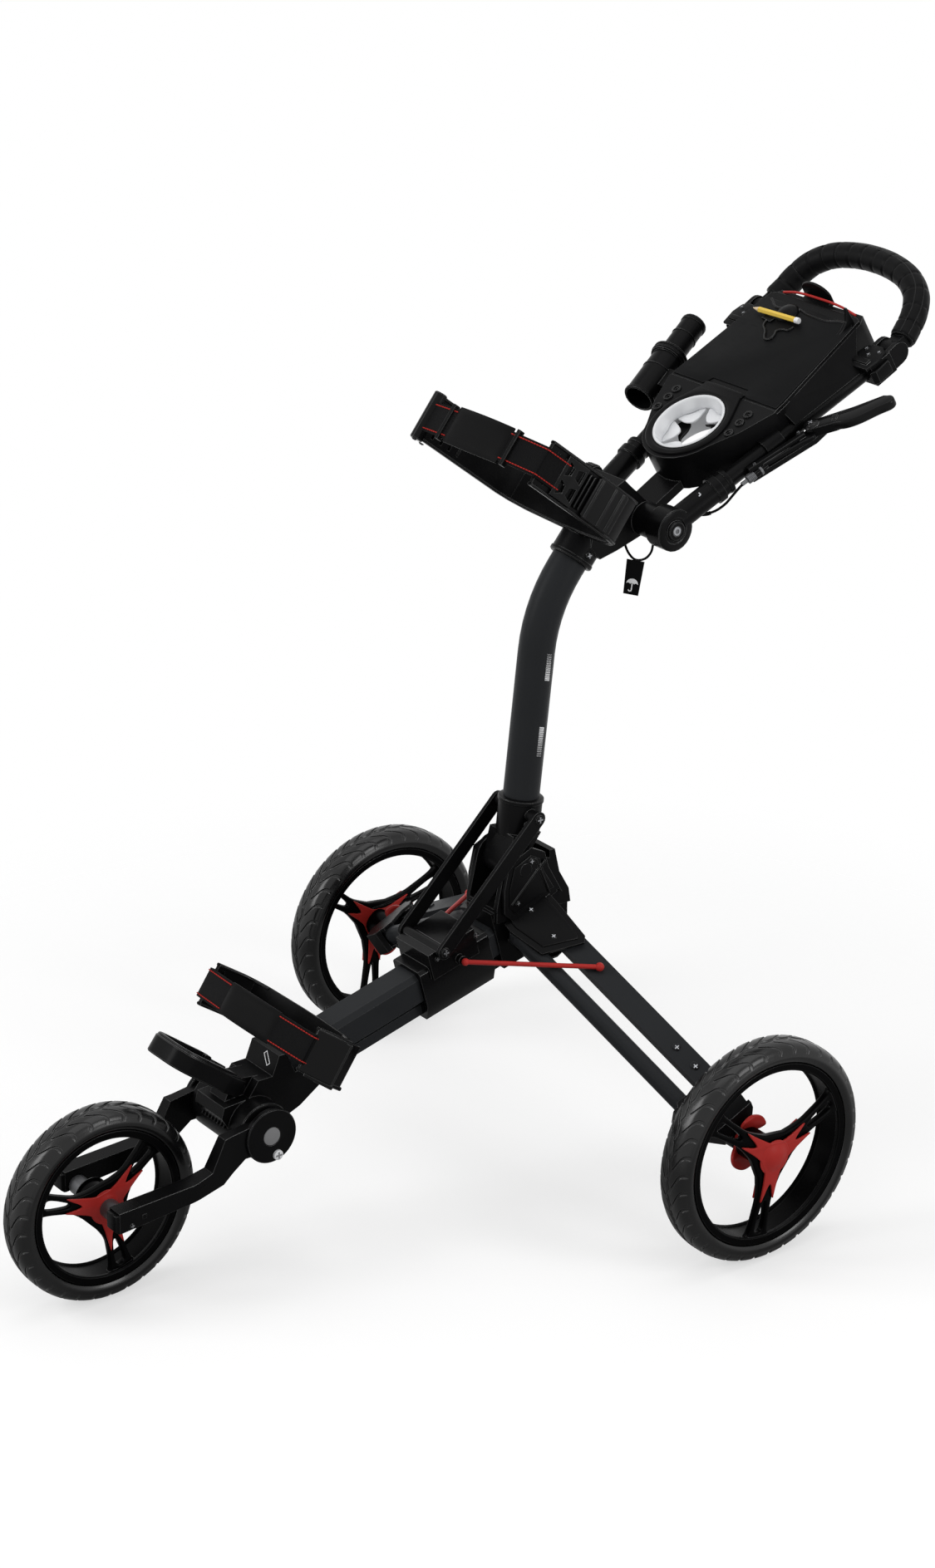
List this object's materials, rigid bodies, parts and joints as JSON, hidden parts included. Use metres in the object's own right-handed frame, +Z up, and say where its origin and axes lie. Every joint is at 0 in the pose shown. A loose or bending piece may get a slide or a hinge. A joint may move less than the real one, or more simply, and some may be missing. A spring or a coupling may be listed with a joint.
{
  "type": "golf push cart",
  "caption": "Folding three-wheeled push cart with two strapped bag cradles, a curved column, a console handle with cup holder, and spoked foam wheels.",
  "frame": {"origin": "on the floor, under the middle of the cart's box", "axes": "+Z up, the front wheel towards -Y, X across the cart"},
  "size_m": [0.8166, 1.291, 1.0719],
  "materials": {
    "body_plastic": "moulded near-black plastic, satin",
    "charcoal_paint": "satin charcoal powder coat on aluminium tube",
    "wheel_plastic": "moulded black plastic, slightly glossy",
    "tyre": "black foam rubber with moulded tread",
    "red_plastic": "moulded red plastic",
    "red_paint": "red coated steel rod",
    "steel": "zinc plated steel",
    "webbing": "black webbing with red stitching",
    "white_plastic": "white plastic with grey shading",
    "pencil_paint": "yellow painted pencil",
    "grip_rubber": "moulded grip rubber with panel grooves",
    "tag_rubber": "soft black rubber",
    "cable_jacket": "black cable jacket",
    "red_elastic": "red elastic cord"
  },
  "bodies": {
    "chassis": {"front_tube": "charcoal_paint", "hub_body": "body_plastic", "hub_cover_left": "body_plastic", "hub_cover_right": "body_plastic", "lower_bracket": "body_plastic", "lower_cradle": "body_plastic", "lower_strap": "webbing"},
    "fork": {"fork_arm_left": "charcoal_paint", "fork_arm_right": "charcoal_paint", "fork_pivot_bolt": "steel", "front_axle": "steel"},
    "front_wheel": {"front_tyre": "tyre", "front_rim": "wheel_plastic", "front_hub_cap_left": "red_plastic", "front_hub_cap_right": "red_plastic"},
    "bag_stop": {"bag_stop_hoop": "body_plastic"},
    "carriage": {"carriage": "body_plastic"},
    "column": {"column_base": "body_plastic", "column": "charcoal_paint", "column_head": "body_plastic", "upper_cradle": "body_plastic", "upper_strap": "webbing", "handle_pivot_bolt": "steel", "tag_cord": "tag_rubber", "tag": "tag_rubber"},
    "knob": {"cradle_knob": "body_plastic"},
    "handle": {"handle_tube_left": "charcoal_paint", "handle_tube_right": "charcoal_paint", "console_body": "body_plastic", "cup_liner": "white_plastic", "umbrella_holder": "body_plastic", "brake_bracket": "body_plastic", "brake_cable": "cable_jacket", "grip_clamp_left": "body_plastic", "grip_clamp_right": "body_plastic", "card_elastic": "red_elastic"},
    "lid": {"console_lid": "body_plastic", "pencil": "pencil_paint"},
    "lever": {"brake_lever": "body_plastic"},
    "grip": {"grip": "grip_rubber"},
    "strut_left": {"strut_left": "body_plastic"},
    "leg_left": {"leg_bar_left": "charcoal_paint"},
    "leg_rod_left": {"leg_rod_left": "charcoal_paint", "leg_cable": "cable_jacket"},
    "wheel_bracket_left": {"wheel_bracket_left": "body_plastic"},
    "release_tab_left": {"release_tab_left": "red_plastic"},
    "rear_wheel_left": {"rear_tyre_left": "tyre", "rear_rim_left": "wheel_plastic", "hub_cap_left": "red_plastic"},
    "push_rod_left": {"push_rod_left": "red_paint"},
    "strut_right": {"strut_right": "body_plastic"},
    "leg_right": {"leg_bar_right": "charcoal_paint"},
    "leg_rod_right": {"leg_rod_right": "charcoal_paint"},
    "wheel_bracket_right": {"wheel_bracket_right": "body_plastic"},
    "release_tab_right": {"release_tab_right": "red_plastic"},
    "rear_wheel_right": {"rear_tyre_right": "tyre", "rear_rim_right": "wheel_plastic", "hub_cap_right": "red_plastic"},
    "push_rod_right": {"push_rod_right": "red_paint"}
  },
  "joints": [
    {"name": "column_fold", "type": "hinge", "parent": "chassis", "child": "column", "pos_m": [0, 0.06554, 0.397], "axis": [1, 0, 0], "range_deg": [0, 95]},
    {"name": "carriage_slide", "type": "slide", "parent": "chassis", "child": "carriage", "axis": [0, -0.9681, -0.2504], "range_m": [0, 0.1071]},
    {"name": "strut_left_pivot", "type": "hinge", "parent": "column", "child": "strut_left", "pos_m": [0.04, 0.08204, 0.461], "axis": [1, 0, 0], "range_deg": [-105.5, 0]},
    {"name": "leg_left_swing", "type": "hinge", "parent": "chassis", "child": "leg_left", "pos_m": [0.06, 0.09754, 0.3186], "axis": [0.4995, -0.3473, 0.7936], "range_deg": [-84.6, 0]},
    {"name": "leg_rod_left_swing", "type": "hinge", "parent": "chassis", "child": "leg_rod_left", "pos_m": [0.03726, 0.05358, 0.31368], "axis": [0.4995, -0.3473, 0.7936], "range_deg": [-84.6, 0]},
    {"name": "wheel_bracket_left_turn", "type": "hinge", "parent": "leg_left", "child": "wheel_bracket_left", "pos_m": [0.325, 0.15054, 0.175], "axis": [0.4995, -0.3473, 0.7936], "range_deg": [0, 84.6]},
    {"name": "rear_wheel_left_spin", "type": "hinge", "parent": "wheel_bracket_left", "child": "rear_wheel_left", "pos_m": [0.3845, 0.15014, 0.14], "axis": [1, 0, 0], "continuous": true},
    {"name": "release_tab_left_press", "type": "slide", "parent": "wheel_bracket_left", "child": "release_tab_left", "axis": [-1, 0, 0], "range_m": [0, 0.0018], "stiffness_N_per_m": 400},
    {"name": "push_rod_left_turn", "type": "hinge", "parent": "carriage", "child": "push_rod_left", "pos_m": [0.045, -0.03046, 0.304], "axis": [0.3801, -0.1633, 0.9104], "range_deg": [0, 26.1]},
    {"name": "strut_right_pivot", "type": "hinge", "parent": "column", "child": "strut_right", "pos_m": [-0.04, 0.08204, 0.461], "axis": [1, 0, 0], "range_deg": [-105.5, 0]},
    {"name": "leg_right_swing", "type": "hinge", "parent": "chassis", "child": "leg_right", "pos_m": [-0.06, 0.09754, 0.3186], "axis": [-0.4995, -0.3473, 0.7936], "range_deg": [0, 84.6]},
    {"name": "leg_rod_right_swing", "type": "hinge", "parent": "chassis", "child": "leg_rod_right", "pos_m": [-0.03726, 0.05358, 0.31368], "axis": [-0.4995, -0.3473, 0.7936], "range_deg": [0, 84.6]},
    {"name": "wheel_bracket_right_turn", "type": "hinge", "parent": "leg_right", "child": "wheel_bracket_right", "pos_m": [-0.325, 0.15054, 0.175], "axis": [-0.4995, -0.3473, 0.7936], "range_deg": [-84.6, 0]},
    {"name": "rear_wheel_right_spin", "type": "hinge", "parent": "wheel_bracket_right", "child": "rear_wheel_right", "pos_m": [-0.3845, 0.15014, 0.14], "axis": [1, 0, 0], "continuous": true},
    {"name": "release_tab_right_press", "type": "slide", "parent": "wheel_bracket_right", "child": "release_tab_right", "axis": [1, 0, 0], "range_m": [0, 0.0018], "stiffness_N_per_m": 400},
    {"name": "push_rod_right_turn", "type": "hinge", "parent": "carriage", "child": "push_rod_right", "pos_m": [-0.045, -0.03046, 0.304], "axis": [-0.3801, -0.1633, 0.9104], "range_deg": [-26.1, 0]},
    {"name": "handle_fold", "type": "hinge", "parent": "column", "child": "handle", "pos_m": [0, 0.24954, 0.806], "axis": [1, 0, 0], "range_deg": [-98, 0]},
    {"name": "grip_tilt", "type": "hinge", "parent": "handle", "child": "grip", "pos_m": [0, 0.55438, 0.982], "axis": [1, 0, 0], "range_deg": [-20, 30]},
    {"name": "lid_hinge", "type": "hinge", "parent": "handle", "child": "lid", "pos_m": [0, 0.53812, 1.01418], "axis": [1, 0, 0], "range_deg": [-98, 0]},
    {"name": "brake_lever_pull", "type": "hinge", "parent": "handle", "child": "lever", "pos_m": [0.126, 0.42621, 0.908], "axis": [0, -0.5, 0.866], "range_deg": [0, 22], "stiffness_Nm_per_rad": 0.6},
    {"name": "cradle_knob_turn", "type": "hinge", "parent": "column", "child": "knob", "pos_m": [-0.04, 0.21954, 0.85], "axis": [1, 0, 0], "continuous": true},
    {"name": "bag_stop_fold", "type": "hinge", "parent": "chassis", "child": "bag_stop", "pos_m": [0, -0.34446, 0.222], "axis": [1, 0, 0], "range_deg": [-35, 0]},
    {"name": "fork_fold", "type": "hinge", "parent": "chassis", "child": "fork", "pos_m": [0, -0.32946, 0.173], "axis": [1, 0, 0], "range_deg": [0, 130]},
    {"name": "front_wheel_spin", "type": "hinge", "parent": "fork", "child": "front_wheel", "pos_m": [0, -0.52446, 0.121], "axis": [1, 0, 0], "continuous": true}
  ],
  "couplings": [
    {"joint": "carriage_slide", "follows": "column_fold", "m_per_rad": 0.064387},
    {"joint": "strut_left_pivot", "follows": "column_fold", "ratio": -1.1049},
    {"joint": "leg_left_swing", "follows": "column_fold", "ratio": -0.8878},
    {"joint": "leg_rod_left_swing", "follows": "column_fold", "ratio": -0.8878},
    {"joint": "wheel_bracket_left_turn", "follows": "column_fold", "ratio": 0.8878},
    {"joint": "push_rod_left_turn", "follows": "column_fold", "ratio": 0.26935},
    {"joint": "strut_right_pivot", "follows": "column_fold", "ratio": -1.1049},
    {"joint": "leg_right_swing", "follows": "column_fold", "ratio": 0.8878},
    {"joint": "leg_rod_right_swing", "follows": "column_fold", "ratio": 0.8878},
    {"joint": "wheel_bracket_right_turn", "follows": "column_fold", "ratio": -0.8878},
    {"joint": "push_rod_right_turn", "follows": "column_fold", "ratio": -0.26935}
  ]
}
